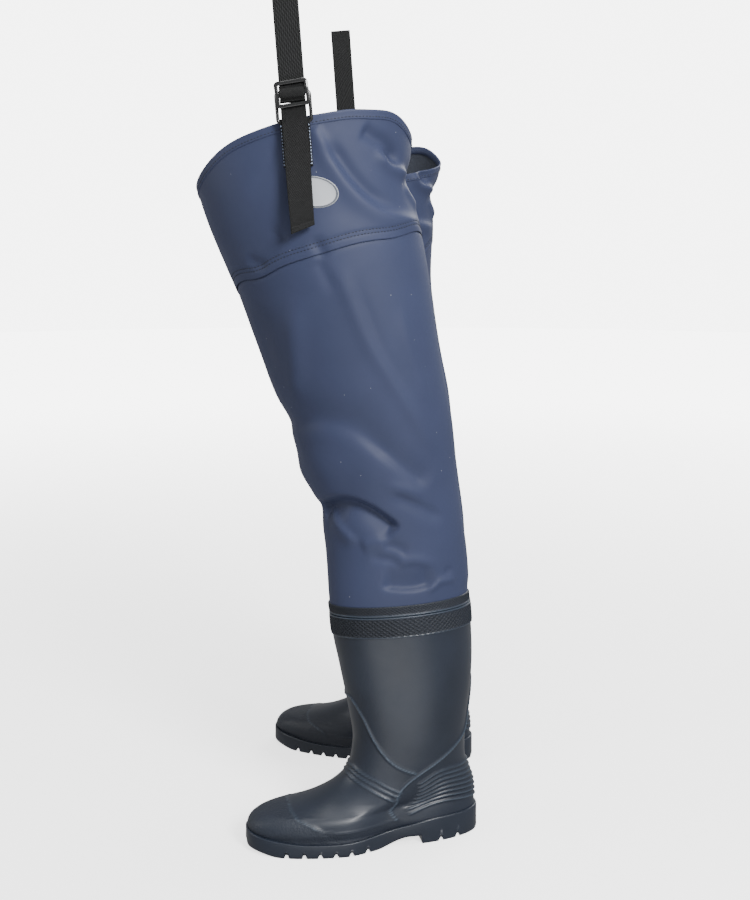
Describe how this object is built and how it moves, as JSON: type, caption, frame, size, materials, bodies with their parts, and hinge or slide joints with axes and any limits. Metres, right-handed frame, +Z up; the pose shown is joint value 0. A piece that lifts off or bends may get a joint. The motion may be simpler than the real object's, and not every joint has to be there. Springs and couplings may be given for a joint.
{
  "type": "hip waders",
  "caption": "Pair of fabric hip waders welded to moulded rubber boots, each with a webbing belt strap, ring and slider at the top.",
  "frame": {"origin": "on the floor, under the middle of the pair's box", "axes": "+Z up, -Y the way the toes point, +X the wearer's left"},
  "size_m": [0.5116, 0.36, 1.0853],
  "materials": {
    "leg_fabric": "slate navy PVC coated fabric with a soft sheen",
    "boot_pvc": "black satin moulded PVC",
    "lining": "dark grey knitted lining",
    "webbing": "black woven webbing",
    "buckle_plastic": "glossy black moulded plastic",
    "label_print": "white printed oval with red rim and blue stripes"
  },
  "bodies": {
    "left_boot": {"left_outsole": "boot_pvc", "left_boot_upper": "boot_pvc", "left_boot_lining": "lining", "left_insole": "lining", "left_joint_strip": "boot_pvc", "left_shin_panel": "leg_fabric", "left_shin_seam_tape": "leg_fabric"},
    "left_thigh": {"left_knee_panel": "leg_fabric", "left_thigh_panel": "leg_fabric", "left_thigh_seam_tape": "leg_fabric", "left_yoke_panel": "leg_fabric", "left_seam_band": "leg_fabric", "left_top_hem": "leg_fabric", "left_anchor_tab": "webbing", "left_label": "label_print"},
    "left_ring": {"left_ring": "buckle_plastic"},
    "left_strap": {"left_belt_strap": "webbing"},
    "left_slider": {"left_slider": "buckle_plastic"},
    "left_tail": {"left_strap_tail": "webbing"},
    "right_boot": {"right_outsole": "boot_pvc", "right_boot_upper": "boot_pvc", "right_boot_lining": "lining", "right_insole": "lining", "right_joint_strip": "boot_pvc", "right_shin_panel": "leg_fabric", "right_shin_seam_tape": "leg_fabric"},
    "right_thigh": {"right_knee_panel": "leg_fabric", "right_thigh_panel": "leg_fabric", "right_thigh_seam_tape": "leg_fabric", "right_yoke_panel": "leg_fabric", "right_seam_band": "leg_fabric", "right_top_hem": "leg_fabric", "right_anchor_tab": "webbing", "right_label": "label_print"},
    "right_ring": {"right_ring": "buckle_plastic"},
    "right_strap": {"right_belt_strap": "webbing"},
    "right_slider": {"right_slider": "buckle_plastic"},
    "right_tail": {"right_strap_tail": "webbing"}
  },
  "joints": [
    {"name": "pair_apart", "type": "slide", "parent": "left_boot", "child": "right_boot", "axis": [-1, 0, 0], "range_m": [0, 0.15]},
    {"name": "left_knee_bend", "type": "hinge", "parent": "left_boot", "child": "left_thigh", "pos_m": [0.12968, 0.04325, 0.48], "axis": [-1, 0, 0], "range_deg": [0, 50], "deforming": ["left_knee_panel"]},
    {"name": "left_ring_swing", "type": "hinge", "parent": "left_thigh", "child": "left_ring", "pos_m": [0.24547, -0.05549, 0.898], "axis": [0, 0.9976, 0.0698], "range_deg": [0, 75]},
    {"name": "left_strap_fold", "type": "hinge", "parent": "left_ring", "child": "left_strap", "pos_m": [0.24547, -0.05772, 0.92992], "axis": [0, 0.9976, 0.0698], "range_deg": [-70, 0]},
    {"name": "left_slider_slide", "type": "slide", "parent": "left_strap", "child": "left_slider", "axis": [0, -0.0698, 0.9976], "range_m": [0, 0.045]},
    {"name": "left_tail_lift", "type": "hinge", "parent": "left_thigh", "child": "left_tail", "pos_m": [0.25157, -0.05632, 0.90997], "axis": [0, -0.9976, -0.0698], "range_deg": [0, 25]},
    {"name": "right_knee_bend", "type": "hinge", "parent": "right_boot", "child": "right_thigh", "pos_m": [-0.12968, 0.05525, 0.48], "axis": [-1, 0, 0], "range_deg": [0, 50], "deforming": ["right_knee_panel"]},
    {"name": "right_ring_swing", "type": "hinge", "parent": "right_thigh", "child": "right_ring", "pos_m": [-0.24547, -0.0055, 0.888], "axis": [0, -0.9976, -0.0698], "range_deg": [0, 75]},
    {"name": "right_strap_fold", "type": "hinge", "parent": "right_ring", "child": "right_strap", "pos_m": [-0.24547, -0.00773, 0.91992], "axis": [0, -0.9976, -0.0698], "range_deg": [-70, 0]},
    {"name": "right_slider_slide", "type": "slide", "parent": "right_strap", "child": "right_slider", "axis": [0, -0.0698, 0.9976], "range_m": [0, 0.045]},
    {"name": "right_tail_lift", "type": "hinge", "parent": "right_thigh", "child": "right_tail", "pos_m": [-0.25157, -0.00633, 0.89998], "axis": [0, 0.9976, 0.0698], "range_deg": [0, 25]}
  ]
}
